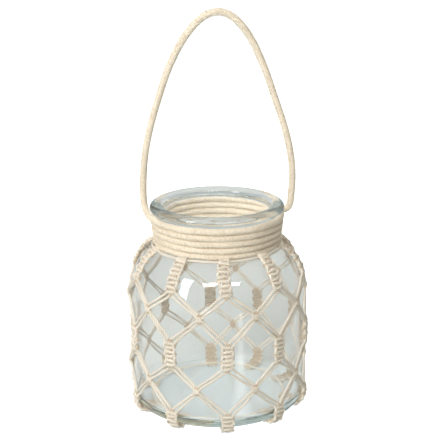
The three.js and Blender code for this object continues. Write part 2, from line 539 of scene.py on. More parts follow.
NET_COTTON = CottonFinish(
    name="cotton_cord",
    crown=(0.97, 0.925, 0.84),
    groove_shade=(0.56, 0.38, 0.20),
    fleck=(0.84, 0.73, 0.58),
    fibre_pitch=0.34,
    fibre_slant=0.0,
    fibre_relief=0.00016,
    round_length=7.5,
    groove_share=0.42,
    fleck_scale=1300.0,
    fleck_share=0.35,
)
ROPE_COTTON = CottonFinish(
    name="cotton_rope",
    crown=(0.94, 0.85, 0.71),
    groove_shade=(0.46, 0.30, 0.14),
    fleck=(0.66, 0.51, 0.34),
    fibre_pitch=0.42,
    fibre_slant=0.0,
    fibre_relief=0.00018,
    round_length=18.8,
    groove_share=0.7,
    fleck_scale=620.0,
    fleck_share=0.6,
)


# ---- Cords ----


@dataclass(frozen=True)
class TwistedCord:
    """Cord of three plies twisted together."""

    plies: int = 3
    lay_length: float = 8.5
    sides_per_ply: int = 4
    step: float = 0.55
    groove_depth: float = 0.11

    def section(self, distance: np.ndarray) -> tuple[np.ndarray, np.ndarray, np.ndarray]:
        """The cord's section at places along it.

        Args:
            distance: millimetres along the cord.

        Returns:
            For each place and each point round it: the angle, the share of the full radius, and the relief.
        """
        sides = self.plies * self.sides_per_ply
        own = np.arange(sides) * 2.0 * math.pi / sides
        angle = own[None, :] + 2.0 * math.pi * distance[:, None] / self.lay_length
        crown = np.abs(np.sin(self.plies * own / 2.0)) ** 0.8
        share = 1.0 - self.groove_depth * (1.0 - crown)
        shape = (len(distance), sides)
        return angle, np.broadcast_to(share, shape), np.broadcast_to(crown, shape)


@dataclass(frozen=True)
class BraidedRope:
    """Rope braided from pairs of yarns that pass over and under each other."""

    pairs: int = 8
    yarn_advance: float = 2.9
    sides_per_yarn: int = 5
    step: float = 0.55
    relief_depth: float = 0.14

    def section(self, distance: np.ndarray) -> tuple[np.ndarray, np.ndarray, np.ndarray]:
        """The rope's section at places along it, as TwistedCord.section gives a cord's."""
        sides = self.pairs * self.sides_per_yarn
        own = np.arange(sides) * 2.0 * math.pi / sides
        round_share = self.pairs * own[None, :] / (2.0 * math.pi)
        advance = distance[:, None] / self.yarn_advance
        rising, falling = round_share + advance, round_share - advance
        heights = []
        for mine, other, way in ((rising, falling, 1.0), (falling, rising, -1.0)):
            nearest = np.round(mine)
            hump = np.sqrt(np.clip(1.0 - 3.6 * (mine - nearest) ** 2, 0.0, 1.0))
            over = np.cos(math.pi * nearest) * np.cos(math.pi * other) * way
            heights.append(hump * (0.62 + 0.38 * over))
        crown = np.clip(np.maximum(*heights), 0.0, 1.0)
        angle = np.broadcast_to(own[None, :], crown.shape)
        return angle, 1.0 - self.relief_depth * (1.0 - crown), crown


def lay_cord(
    parts: MeshParts,
    line: np.ndarray,
    radius: np.ndarray,
    make: TwistedCord | BraidedRope,
    first: np.ndarray,
    cuts: list[tuple[int, int]] | None = None,
    keep: list[MeshParts] | None = None,
    closed: bool = False,
    bright: np.ndarray | None = None,
) -> None:
    """Lays a cord along a line, whole or cut into lengths that meet exactly.

    Args:
        parts: the mesh that it is added to where it isn't cut.
        line: the centre line, evenly spaced, in millimetres.
        radius: the full radius at each point.
        make: how the cord is made.
        first: about which way its section's zero angle points at the start.
        cuts: the first and last point of each length, where it is cut.
        keep: the mesh that each length is added to.
        closed: whether the last point is the first, so that the cord is a ring.
        bright: how far each point stands out of the shade between its neighbours, from 0 to 1; it lowers the relief, so
            the cotton is painted darker there as shade.
    """
    tangent, normal = carried_normals(line, first)
    if closed:
        tangent[0] = tangent[-1] = (tangent[0] + tangent[-1]) / np.linalg.norm(tangent[0] + tangent[-1])
        normal[-1] = normal[0]
    side = np.cross(tangent, normal)
    distance = along(line)
    angle, share, relief = make.section(distance)
    # Painted shade: the relief, which sets the colour, is lowered where a point sits in shade.
    if bright is not None:
        relief = relief * bright[:, None]
    reach = (radius[:, None] * share)[:, :, None]
    around = np.cos(angle)[:, :, None] * normal[:, None, :] + np.sin(angle)[:, :, None] * side[:, None, :]
    rings = line[:, None, :] + reach * around
    sides = rings.shape[1]
    turns = np.linspace(0.0, 1.0, sides + 1)
    for (start, end), target in zip(cuts or [(0, len(line) - 1)], keep or [parts]):
        add_length(target, rings[start : end + 1], line[[start, end]], distance[start : end + 1], turns,
                   relief[start : end + 1], closed)


def add_length(
    target: MeshParts,
    rings: np.ndarray,
    ends: np.ndarray,
    distance: np.ndarray,
    turns: np.ndarray,
    relief: np.ndarray,
    closed: bool,
) -> None:
    """Adds one closed length of cord to a mesh.

    Args:
        target: the mesh.
        rings: the rings of points round the cord.
        ends: the centres of its two ends.
        distance: millimetres along the cord at each ring.
        turns: the share of the way round at each side's edge.
        relief: the relief of each point.
        closed: whether it is a ring, whose last ring of points is the first again.
    """
    count, sides, _ = rings.shape
    used = count - 1 if closed else count
    row, column = np.meshgrid(np.arange(count - 1), np.arange(sides), indexing="ij")
    after = (column + 1) % sides
    below = (row + 1) % used if closed else row + 1
    quads = np.stack([row * sides + column, row * sides + after, below * sides + after, below * sides + column], -1)
    near, far = distance[:-1][row], distance[1:][row]
    left, right = turns[:-1][column], turns[1:][column]
    values = np.stack([near, left, near, right, far, right, far, left], -1).reshape(-1, 4, 2)
    faces, corners = [quads.reshape(-1, 4)], [values]
    points, heights = rings[:used].reshape(-1, 3), relief[:used].ravel()
    if not closed:
        middle = len(points)
        here = np.arange(sides)
        after = (here + 1) % sides
        last = (count - 1) * sides
        faces.append(np.stack([after, here, np.full(sides, middle)], -1))
        faces.append(np.stack([last + here, last + after, np.full(sides, middle + 1)], -1))
        flat = np.zeros((sides, 3, 2))
        corners += [flat + [distance[0], 0.0], flat + [distance[-1], 0.0]]
        points = np.concatenate([points, ends])
        heights = np.concatenate([heights, [0.5, 0.5]])
    target.add(points, faces, corners, heights)


# ---- The glass ----


@dataclass
class JarOutline:
    """The outline of the glass, in millimetres: its reach from the axis and its height."""

    body_radius: float
    underside: float
    rim_top: float
    wall: float = 3.5
    floor_thickness: float = 8.0
    heel_radius: float = 9.0
    inner_heel_radius: float = 4.0
    shoulder_start: float = 110.0
    shoulder_rise: float = 45.0
    neck_radius: float = 52.0
    neck_top_radius: float = 55.2
    rim_radius: float = 54.9
    rim_half_width: float = 6.4
    rim_half_height: float = 4.6

    @classmethod
    def from_frame(cls) -> "JarOutline":
        """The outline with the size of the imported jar."""
        low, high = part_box("glass_jar")
        return cls(body_radius=high.x / MM, underside=low.z / MM, rim_top=high.z / MM)

    def __post_init__(self) -> None:
        """Works out the net's path down the outside, with its distances and outward directions."""
        reach = self.body_radius - self.neck_radius
        flat = self.body_radius - self.heel_radius
        heel = self.underside + self.heel_radius
        shoulder = self.arc(self.neck_radius, self.shoulder_start, reach, self.shoulder_rise, 90, 0, 240)
        side = np.linspace([self.body_radius, self.shoulder_start], [self.body_radius, heel], 120)
        foot = self.arc(flat, heel, self.heel_radius, self.heel_radius, 0, -90, 90)
        base = np.linspace([flat, self.underside], [1.0, self.underside], 90)
        self.path = np.concatenate([shoulder, side[1:], foot[1:], base[1:]])
        self.distance = along(self.path)
        tangent = np.gradient(self.path, self.distance, axis=0)
        tangent /= np.linalg.norm(tangent, axis=1)[:, None]
        self.outward = np.stack([-tangent[:, 1], tangent[:, 0]], axis=1)

    @property
    def neck_bottom(self) -> float:
        """The height where the shoulder ends and the neck starts to flare."""
        return self.shoulder_start + self.shoulder_rise

    @property
    def neck_top(self) -> float:
        """The height where the neck meets the rim."""
        return self.rim_top - 2.0 * self.rim_half_height

    def neck_at(self, height: np.ndarray) -> np.ndarray:
        """The neck's reach at heights up it."""
        return np.interp(height, [self.neck_bottom, self.neck_top], [self.neck_radius, self.neck_top_radius])

    @staticmethod
    def arc(radius: float, height: float, wide: float, high: float, start: float, end: float, count: int) -> np.ndarray:
        """An arc of an ellipse.

        Args:
            radius: its centre's reach.
            height: its centre's height.
            wide: half its width.
            high: half its height.
            start: the angle where it starts, in degrees up from outward.
            end: the angle where it ends.
            count: how many points it gets.

        Returns:
            Its points.
        """
        angle = np.radians(np.linspace(start, end, count))
        return np.stack([radius + wide * np.cos(angle), height + high * np.sin(angle)], axis=1)

    def radius_at(self, distance: np.ndarray) -> np.ndarray:
        """The glass's reach at distances down the outside."""
        return np.interp(distance, self.distance, self.path[:, 0])

    def distance_to(self, height: float) -> float:
        """The distance down the outside to a height on the shoulder or the side."""
        drop = self.path[:, 1] > self.underside + 0.01
        return float(np.interp(-height, -self.path[drop, 1], self.distance[drop]))

    def distance_under(self, radius: float) -> float:
        """The distance down the outside to a reach on the underside."""
        return float(self.distance[-1] - (radius - 1.0))

    def place(self, angle: np.ndarray, distance: np.ndarray, height: np.ndarray) -> np.ndarray:
        """Points on or over the glass.

        Args:
            angle: round the jar from the front.
            distance: down the outside from the neck.
            height: off the glass.

        Returns:
            The points, in millimetres.
        """
        radius, level, out, up = (
            np.interp(distance, self.distance, column)
            for column in (self.path[:, 0], self.path[:, 1], self.outward[:, 0], self.outward[:, 1])
        )
        reach = radius + out * height
        return np.stack([reach * np.sin(angle), -reach * np.cos(angle), level + up * height], axis=-1)


@dataclass
class Jar:
    """The glass jar: thick walls, a rolled rim and a flat base, a little uneven inside as moulded glass is."""

    outline: JarOutline
    segments: int = 224
    waviness: float = 0.22
    seed: int = 11

    def profile(self) -> tuple[np.ndarray, np.ndarray]:
        """The closed outline from the middle of the underside round to the middle of the inner floor.

        Returns:
            Its points, and how freely each may wander, from 0 on the outside to 1 inside.
        """
        o = self.outline
        inner = o.body_radius - o.wall
        neck = o.rim_radius - o.rim_half_width
        floor = o.underside + o.floor_thickness
        rim_height = o.rim_top - o.rim_half_height
        heel = o.underside + o.heel_radius
        foot = math.degrees(math.acos((o.neck_top_radius - o.rim_radius) / o.rim_half_width))
        reach = o.body_radius - o.neck_radius
        outside = [
            np.linspace([0.0, o.underside], [o.body_radius - o.heel_radius, o.underside], 24),
            o.arc(o.body_radius - o.heel_radius, heel, o.heel_radius, o.heel_radius, -90, 0, 14)[1:],
            np.linspace([o.body_radius, heel], [o.body_radius, o.shoulder_start], 20)[1:],
            o.arc(o.neck_radius, o.shoulder_start, reach, o.shoulder_rise, 0, 90, 34)[1:],
            np.linspace([o.neck_radius, o.neck_bottom], [o.neck_top_radius, o.neck_top], 12)[1:-1],
            o.arc(o.rim_radius, rim_height, o.rim_half_width, o.rim_half_height, -foot, 90, 22),
        ]
        centre = floor + o.inner_heel_radius
        inside = [
            o.arc(o.rim_radius, rim_height, o.rim_half_width, o.rim_half_height, 90, 180, 12)[1:],
            np.linspace([neck, rim_height], [neck, o.shoulder_start + o.shoulder_rise - o.wall], 12)[1:],
            o.arc(neck, o.shoulder_start, inner - neck, o.shoulder_rise - o.wall, 90, 0, 30)[1:],
            np.linspace([inner, o.shoulder_start], [inner, centre], 20)[1:],
            o.arc(inner - o.inner_heel_radius, centre, o.inner_heel_radius, o.inner_heel_radius, 0, -90, 14)[1:],
            np.linspace([inner - o.inner_heel_radius, floor], [0.0, floor], 24)[1:],
        ]
        points = np.concatenate(outside + inside)
        free = np.concatenate([np.zeros(sum(map(len, outside))), np.ones(sum(map(len, inside)))])
        return points, free

    def build(self, finish: GlassFinish) -> bpy.types.Object:
        """Turns the outline about the axis and dresses it.

        Args:
            finish: the glass.

        Returns:
            The jar.
        """
        points, free = self.profile()
        angle = np.arange(self.segments) * 2.0 * math.pi / self.segments
        rng = np.random.default_rng(self.seed)
        radius = np.repeat(points[1:-1, :1], self.segments, axis=1)
        height = points[1:-1, 1:2]
        wave = np.zeros_like(radius)
        for lobes in (1, 2, 3, 5):
            phase, slope = rng.uniform(0.0, 2.0 * math.pi), rng.uniform(0.01, 0.05)
            wave += np.cos(lobes * angle[None, :] + phase + slope * height) / (lobes + 1)
        radius += self.waviness * (0.25 + 0.75 * free[1:-1, None]) * wave * np.clip(radius / 30.0, 0.0, 1.0)
        rings = np.stack([radius * np.sin(angle), -radius * np.cos(angle), np.broadcast_to(height, radius.shape)], -1)
        count = len(rings)
        verts = np.concatenate([rings.reshape(-1, 3), [[0.0, 0.0, points[0, 1]], [0.0, 0.0, points[-1, 1]]]])
        row, column = np.meshgrid(np.arange(count - 1), np.arange(self.segments), indexing="ij")
        after = (column + 1) % self.segments
        n = self.segments
        quads = np.stack([row * n + column, row * n + after, (row + 1) * n + after, (row + 1) * n + column], -1)
        here = np.arange(n)
        bottom = np.stack([(here + 1) % n, here, np.full(n, count * n)], -1)
        top = np.stack([(count - 1) * n + here, (count - 1) * n + (here + 1) % n, np.full(n, count * n + 1)], -1)
        parts = MeshParts("jar_glass")
        faces = [quads.reshape(-1, 4), bottom, top]
        corners = [np.zeros((*f.shape, 2)) for f in faces]
        parts.add(verts, faces, corners, np.ones(len(verts)))
        piece = parts.build()
        dress(piece, finish.material(), Slot.GLASS, Body.LANTERN, "glass_jar")
        return piece


# ---- The rope ----

# The free part of the rope from left to right: sideways, depth and height, in millimetres.
LOOP_ROUTE = (
    (-66.7, -0.4, 200.0),
    (-66.6, 0.0, 212.0),
    (-65.0, 0.0, 232.0),
    (-60.2, 0.0, 258.0),
    (-51.0, 0.0, 289.0),
    (-39.6, 0.0, 320.0),
    (-24.5, 0.0, 346.0),
    (-10.0, 0.0, 360.0),
    (2.0, 0.0, 363.7),
    (13.5, 0.0, 360.0),
    (27.0, 0.0, 346.0),
    (40.3, 0.0, 320.0),
    (51.6, 0.0, 289.0),
    (61.8, 0.0, 258.0),
    (67.1, 0.0, 232.0),
    (68.1, 0.0, 215.0),
    (67.3, 0.4, 200.0),
)
# The leads from the loop's two ends down to the turns.
LEFT_LEAD = ((-66.2, -0.9, 192.5), (-65.1, -2.8, 188.0), (-62.9, -6.6, 184.5), (-60.0, -12.4, 182.4))
RIGHT_LEAD = ((66.7, 1.1, 192.5), (65.4, 2.9, 188.0), (63.2, 6.8, 184.5), (60.3, 13.4, 182.5), (55.6, 22.4, 182.0))


@dataclass
class Rope:
    """One length of braided rope: its two ends wound round the neck, and its middle raised as the carrying loop.

    The left end starts round the front and the right end round the back. They lie one under the other, level at the
    front and the back, and both step down one place at each side.
    """

    outline: JarOutline
    make: BraidedRope = field(default_factory=BraidedRope)
    rows: int = 5
    side_steps: tuple[tuple[float, float], ...] = ((92.0, 140.0), (235.0, 285.0))
    left_start: float = -70.0
    left_end: float = 815.0
    right_start: float = 128.0
    right_end: float = 955.0
    settle: float = 40.0
    proud: float = 1.2
    plump: float = 1.09
    pressed: float = 1.03
    plump_height: float = 190.0
    gap: float = 0.15
    blend_low: float = 184.5
    blend_high: float = 192.5
    control_turn: float = 9.0
    fine_step: float = 0.4
    rounding: float = 1.6
    tip: float = 2.6
    slack: float = 0.16
    seed: int = 5

    def __post_init__(self) -> None:
        """Takes the winding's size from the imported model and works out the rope's whole line."""
        low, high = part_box("neck_winding")
        self.bottom, self.top = low.z / MM, high.z / MM
        self.thickness = 2.0 * (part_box("handle_rope")[1].y) / MM
        self.pitch = (self.top - self.bottom) / self.rows
        self.line = self.whole_line()

    def turns(self, start: float, end: float, seed: int) -> np.ndarray:
        """The line of one wound end.

        Args:
            start: the angle where it meets its lead, in degrees from the front.
            end: the angle where it stops.
            seed: for its small irregularities.

        Returns:
            Points along it, from its lead to its end.
        """
        angle = np.arange(start, end, self.control_turn)
        row = np.ones(len(angle))
        for turn in range(int(end // 360.0) + 1):
            for first, last in self.side_steps:
                if first + 360.0 * turn > start:
                    row = row + smooth(first + 360.0 * turn, last + 360.0 * turn, angle)
        rng = np.random.default_rng(seed)
        wander = rng.normal(0.0, self.slack, (2, len(angle)))
        height = self.top - self.pitch * (row - 0.5) + wander[1]
        out = self.proud * (1.0 - smooth(start, start + self.settle, angle)) + np.abs(wander[0]) * 0.6
        radius = self.outline.neck_at(height) + self.gap + self.thickness / 2.0 + out
        turn = np.radians(angle)
        return np.stack([radius * np.sin(turn), -radius * np.cos(turn), height], axis=1)

    def whole_line(self) -> np.ndarray:
        """The rope's centre line from its left end, up over the loop, to its right end, evenly spaced."""
        left = self.turns(self.left_start, self.left_end, self.seed)
        right = self.turns(self.right_start, self.right_end, self.seed + 1)
        middle = np.array(LEFT_LEAD[::-1] + LOOP_ROUTE + RIGHT_LEAD)
        curve = spaced(through(np.concatenate([left[::-1], middle, right])), self.fine_step)[0]
        return spaced(softened(curve, self.rounding, self.fine_step), self.make.step)[0]

    def build(self, finish: CottonFinish) -> list[bpy.types.Object]:
        """Makes the carrying loop and the two wound ends, as one rope cut where the loop leaves its leads.

        Args:
            finish: the cotton.

        Returns:
            The loop and the two ends.
        """
        line = self.line
        high = np.flatnonzero(line[:, 2] > self.blend_low)
        first, last = int(high[0]), int(high[-1])
        names = ("rope_turns_left", "rope_carrying_loop", "rope_turns_right")
        pieces = [MeshParts(name) for name in names]
        cuts = [(0, first), (first, last), (last, len(line) - 1)]
        free = smooth(self.top, self.plump_height, line[:, 2])
        radius = self.thickness / 2.0 * (self.pressed + (self.plump - self.pressed) * free)
        ends = np.minimum(np.arange(len(line)), np.arange(len(line))[::-1]) * self.make.step
        radius *= np.sqrt(np.clip(1.0 - (1.0 - np.clip(ends / self.tip, 0.0, 1.0)) ** 2, 0.12, 1.0))
        lay_cord(pieces[0], line, radius, self.make, np.array([0.0, 0.0, 1.0]), cuts, pieces)
        left, loop, right = (parts.build() for parts in pieces)
        material = finish.material()
        dress(left, material, Slot.ROPE, Body.LANTERN, "neck_winding", "left_lead")
        dress(right, material, Slot.ROPE, Body.LANTERN, "right_lead")
        dress(loop, material, Slot.ROPE, None, "handle_rope")
        route = line[first : last + 1]
        length = along(route)[-1]
        path = [tuple(point) for point in route * MM]
        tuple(path[0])
        start, end = (0.0, 0.0, self.blend_low * MM), (0.0, 0.0, self.blend_high * MM)
        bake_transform(loop)
        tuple(start)
        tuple(end)
        log.info("rope: loop %.0f mm, whole rope %.2f m", length, along(line)[-1] * MM)
        return [left, loop, right]


# ---- The net ----


@dataclass(frozen=True)
class SquareKnots:
    """A row of half knots: one worker over the front, the other behind and round the sides, fillers inside."""

    count: int
    pitch: float
    reach: float
    filler_offset: float
    filler_run: float = 1.4
    front_height: float = 3.6
    front_dip: float = 1.2
    back_height: float = 1.15
    back_crest: float = 3.9
    filler_height: float = 2.3
    worker_trim: float = 0.16
    samples: int = 22

    @property
    def length(self) -> float:
        """The length of the row."""
        return self.count * self.pitch

    def strand(self, part: Part, side: float) -> np.ndarray:
        """One strand's way through the row.

        Args:
            part: what it does.
            side: -1 for a strand on the left, 1 for one on the right.

        Returns:
            For each point: across, down from the row's top, and off the glass.
        """
        trim = -self.filler_run / self.pitch if part is Part.FILLER else self.worker_trim
        u = np.linspace(0.5 + trim, self.count + 0.5 - trim, self.count * self.samples + 1)
        swing, rise = np.sin(math.pi * u), np.abs(np.cos(math.pi * u))
        if part is Part.FILLER:
            down = (u - 0.5) * self.pitch
            across = self.filler_offset * (1.0 - 0.10 * np.cos(2.0 * math.pi * u))
            return np.stack([side * across, down, np.full(len(u), self.filler_height)], axis=1)
        across = side * self.reach * np.sign(swing) * np.abs(swing) ** 0.85
        if part is Part.FRONT:
            lag, height = 0.72, self.front_dip + (self.front_height - self.front_dip) * rise**0.8
        else:
            lag, height = 1.35, self.back_height + (self.back_crest - self.back_height) * (1.0 - rise**1.1)
        down = (u - 0.5 - lag * np.sin(2.0 * math.pi * u) / (2.0 * math.pi)) * self.pitch
        return np.stack([across, down, height], axis=1)


@dataclass
class Net:
    """Ten columns of four twisted strands, tied in sinnets of square knots and crossed between the columns.

    The strands' turns over and round the two rings are pairs: how far past the ring's middle, and how far off the
    glass.
    """

    outline: JarOutline
    make: TwistedCord = field(default_factory=TwistedCord)
    columns: int = 10
    first_angle: float = math.radians(5.7)
    radius: float = 1.2
    knotted_radius: float = 1.34
    foundation: float = 7.0
    sinnet_reach: float = 4.7
    filler_offset: float = 1.15
    knot_reach: float = 2.55
    knot_pitch: float = 2.15
    strand_lift: float = 1.35
    side_by_side: tuple[float, ...] = (-3.3, -1.15, 1.15, 3.3)
    over_ring: tuple[tuple[float, float], ...] = (
        (0.9, 0.9), (-0.6, 0.85), (-1.9, 1.5), (-1.7, 2.9), (0.1, 3.6), (1.5, 2.9)
    )
    round_ring: tuple[tuple[float, float], ...] = ((-1.4, 2.6), (0.3, 3.6), (2.0, 3.0), (2.6, 1.7), (2.2, 0.9))
    fine_step: float = 0.2
    rounding: float = 0.42
    swelling: float = 1.2
    shoulder_end: float = 128.6
    upper_crossing: float = 111.2
    side_start: float = 88.2
    side_end: float = 61.9
    lower_crossing: float = 43.3
    base_start: float = 21.0
    ring_radius: float = 62.0
    # Painted shade: knotted stretches are painted darker where they sink towards the glass, from this share of full
    # brightness at the sunken height to full at the raised one.
    shade: float = 0.20
    sunken: float = 1.9
    raised: float = 3.5
    seed: int = 23

    def __post_init__(self) -> None:
        """Places the rows down the glass and gives each crossing and sinnet its small irregularity."""
        place = self.outline.distance_to
        base_end = self.outline.distance_under(self.ring_radius + self.radius + 0.3)
        shoulder = (self.foundation + self.radius + 0.3, place(self.shoulder_end))
        side = (place(self.side_start), place(self.side_end))
        base = (place(self.base_start), base_end)
        self.crossings = (place(self.upper_crossing), place(self.lower_crossing))
        self.sinnets = []
        for (start, end), count, snug in ((shoulder, 8, 0.99), (side, 6, 0.92), (base, 8, 0.985)):
            pitch = snug * (end - start) / count
            knots = SquareKnots(count, pitch, self.sinnet_reach, self.filler_offset)
            self.sinnets.append((start + 0.5 * (end - start - knots.length), knots))
        self.single = SquareKnots(
            2,
            self.knot_pitch,
            self.knot_reach,
            1.05,
            filler_run=1.9,
            front_height=3.3,
            back_crest=3.2,
            filler_height=2.1,
        )
        rng = np.random.default_rng(self.seed)
        self.shift_down = rng.normal(0.0, 0.75, (2, self.columns))
        self.shift_across = rng.normal(0.0, 0.65, (2, self.columns))
        self.sinnet_lean = rng.normal(0.0, 0.5, (3, self.columns))
        self.sinnet_shift = rng.normal(0.0, 0.45, (3, self.columns))
        self.bow = rng.normal(0.0, 0.35, (self.columns, 4, 4))

    def column_angle(self, column: int) -> float:
        """The angle of a column round the jar."""
        return self.first_angle + 2.0 * math.pi * column / self.columns

    def in_sinnet(self, column: int, level: int, strand: int) -> np.ndarray:
        """A strand's way through a sinnet.

        Args:
            column: the column.
            level: 0 on the shoulder, 1 on the side, 2 at the base.
            strand: 0 to 3 from left to right.

        Returns:
            For each point: the angle, the distance down the glass and the height off it.
        """
        start, knots = self.sinnets[level]
        part = (Part.FRONT, Part.FILLER, Part.FILLER, Part.BACK)[strand]
        way = knots.strand(part, -1.0 if strand < 2 else 1.0)
        share = way[:, 1] / knots.length
        ends_still = 4.0 * share * (1.0 - share) if level != 1 else 1.0
        lean = self.sinnet_lean[level, column] * (share - 0.5) * 2.0
        across = way[:, 0] + (lean + self.sinnet_shift[level, column]) * np.clip(ends_still, 0.0, 1.0)
        down = start + way[:, 1]
        return np.stack([self.column_angle(column) + across / self.outline.radius_at(down), down, way[:, 2]], axis=1)

    def in_crossing(self, column: int, level: int, strand: int) -> np.ndarray:
        """A strand's way through the crossing beside its column, as in_sinnet gives it."""
        to_right = strand >= 2
        other = column if to_right else (column - 1) % self.columns
        part = (Part.FILLER, Part.BACK, Part.FRONT, Part.FILLER)[strand]
        way = self.single.strand(part, 1.0 if strand < 2 else -1.0)
        middle = self.column_angle(column) + (1.0 if to_right else -1.0) * math.pi / self.columns
        across = way[:, 0] + self.shift_across[level, other]
        down = self.crossings[level] + self.shift_down[level, other] + way[:, 1] - self.single.length / 2.0
        return np.stack([middle + across / self.outline.body_radius, down, way[:, 2]], axis=1)

    def start_of(self, column: int, strand: int) -> np.ndarray:
        """A strand's turn over the cord that the net hangs from, as in_sinnet gives it."""
        across = self.side_by_side[strand]
        down, height = np.array(self.over_ring).T
        down = self.foundation + down
        angle = self.column_angle(column) + across / self.outline.radius_at(down)
        return np.stack([angle, down, height], axis=1)

    def end_of(self, column: int, strand: int) -> np.ndarray:
        """A strand's turn round the ring under the base, as in_sinnet gives it."""
        across = self.side_by_side[strand]
        down, height = np.array(self.round_ring).T
        down = self.outline.distance_under(self.ring_radius) + down
        angle = self.column_angle(column) + across / self.outline.radius_at(down)
        return np.stack([angle, down, height], axis=1)

    def strand_line(self, column: int, strand: int) -> tuple[np.ndarray, np.ndarray, np.ndarray, np.ndarray]:
        """One strand from the neck to the ring under the base.

        Args:
            column: the column that it belongs to.
            strand: 0 to 3 from left to right.

        Returns:
            Its even centre line, its radius and its painted brightness at each point, which darkens sunken stretches
            as painted shade, and which of the five pieces each point is in.
        """
        stretches, kinds = [self.start_of(column, strand)], [0.0]
        for level in range(3):
            stretches.append(self.in_sinnet(column, level, strand))
            kinds.append(2.0 * level)
            if level < 2:
                stretches.append(self.in_crossing(column, level, strand))
                kinds.append(2.0 * level + 1.0)
        stretches.append(self.end_of(column, strand))
        kinds.append(4.0)
        rows, labels, radii, lights = [], [], [], []
        for index, (stretch, kind) in enumerate(zip(stretches, kinds)):
            if rows and kind != labels[-1][-1]:
                arm = self.arm(rows[-1][-1], stretch[0], self.bow[column, strand, (index - 2) % 4])
                rows.append(arm)
                labels.append(np.full(len(arm), max(kind, labels[-1][-1]) if kind % 2 else labels[-1][-1]))
                radii.append(np.full(len(arm), self.radius))
                lights.append(np.ones(len(arm)))
            rows.append(stretch)
            labels.append(np.full(len(stretch), kind))
            radii.append(np.full(len(stretch), self.knotted_radius))
            # Painted shade: knots darken with their height off the glass; arms between knots stay fully bright.
            lights.append(self.shade + (1.0 - self.shade) * smooth(self.sunken, self.raised, stretch[:, 2]))
        route = np.concatenate(rows)
        points = self.outline.place(route[:, 0], route[:, 1], route[:, 2])
        values = (np.concatenate(labels), np.concatenate(radii), np.concatenate(lights))
        even, label, radius, light = spaced(points, self.fine_step, *values)
        even = softened(even, self.rounding, self.fine_step)
        radius = softened(radius[:, None], self.swelling, self.fine_step)[:, 0]
        line, radius, light, label = spaced(even, self.make.step, radius, light, label)
        return line, radius, light, np.round(label)

    def arm(self, start: np.ndarray, end: np.ndarray, bow: float) -> np.ndarray:
        """A straight, taut stretch between two knots.

        Args:
            start: the angle, distance and height that it leaves.
            end: the ones that it reaches.
            bow: how far its middle strays to one side.

        Returns:
            The points between the two, without them.
        """
        share = np.linspace(0.0, 1.0, 41)[1:-1, None]
        route = start + (end - start) * share
        lift = np.minimum(smooth(0.0, 0.12, share[:, 0]), smooth(0.0, 0.12, 1.0 - share[:, 0]))
        route[:, 2] += (self.strand_lift - route[:, 2]) * lift
        route[:, 0] += bow * np.sin(math.pi * share[:, 0]) / self.outline.body_radius
        return route

    def build(self, finish: CottonFinish) -> list[bpy.types.Object]:
        """Makes every sinnet, crossing and ring of the net.

        Args:
            finish: the cotton.

        Returns:
            The pieces.
        """
        material = finish.material()
        stems = ("shoulder_sinnet", "upper_crossing", "side_sinnet", "lower_crossing", "base_sinnet")
        numbers = [f"{column + 1:02d}" for column in range(self.columns)]
        parts = {(kind, n): MeshParts(f"{stem}_cord_{numbers[n]}") for kind, stem in enumerate(stems)
                 for n in range(self.columns)}
        for column in range(self.columns):
            for strand in range(4):
                self.lay_strand(column, strand, parts)
        pieces = []
        for (kind, n), mesh in parts.items():
            piece = mesh.build()
            dress(piece, material, Slot.CORD, Body.LANTERN, f"{stems[kind]}_{numbers[n]}")
            pieces.append(piece)
        pieces += self.rings(material)
        log.info("net: %d pieces", len(pieces))
        return pieces

    def lay_strand(self, column: int, strand: int, parts: dict) -> None:
        """Lays one strand and cuts it where it passes from one piece to the next.

        Args:
            column: the column that it belongs to.
            strand: 0 to 3 from left to right.
            parts: the mesh of each piece, by its kind and number.
        """
        line, radius, light, label = self.strand_line(column, strand)
        edges = np.flatnonzero(np.diff(label)) + 1
        bounds = [0, *edges.tolist(), len(line) - 1]
        cuts = list(zip(bounds[:-1], bounds[1:]))
        keep = []
        for start, end in cuts:
            kind = int(label[(start + end) // 2])
            beside = column if kind % 2 == 0 or strand >= 2 else (column - 1) % self.columns
            keep.append(parts[(kind, beside)])
        outward = line[0] * np.array([1.0, 1.0, 0.0])
        lay_cord(keep[0], line, radius, self.make, outward, cuts, keep, bright=light)

    def rings(self, material: bpy.types.Material) -> list[bpy.types.Object]:
        """The cord that the net hangs from and the ring that gathers it under the base."""
        lift = self.radius + 0.3
        places = (
            ("net_top_ring", "foundation_cord", self.foundation),
            ("net_base_ring", "base_ring_cord", self.outline.distance_under(self.ring_radius)),
        )
        made = []
        for name, node, distance in places:
            count = int(2.0 * math.pi * self.outline.radius_at(distance) / self.make.step)
            angle = np.linspace(0.0, 2.0 * math.pi, count + 1)
            line = self.outline.place(angle, np.full(count + 1, distance), np.full(count + 1, lift))
            whole = round(along(line)[-1] / self.make.lay_length)
            fitted = TwistedCord(lay_length=along(line)[-1] / whole)
            parts = MeshParts(name)
            lay_cord(parts, line, np.full(count + 1, self.radius), fitted, line[0], closed=True)
            piece = parts.build()
            dress(piece, material, Slot.CORD, Body.LANTERN, node)
            made.append(piece)
        return made


# ---- The studio ----


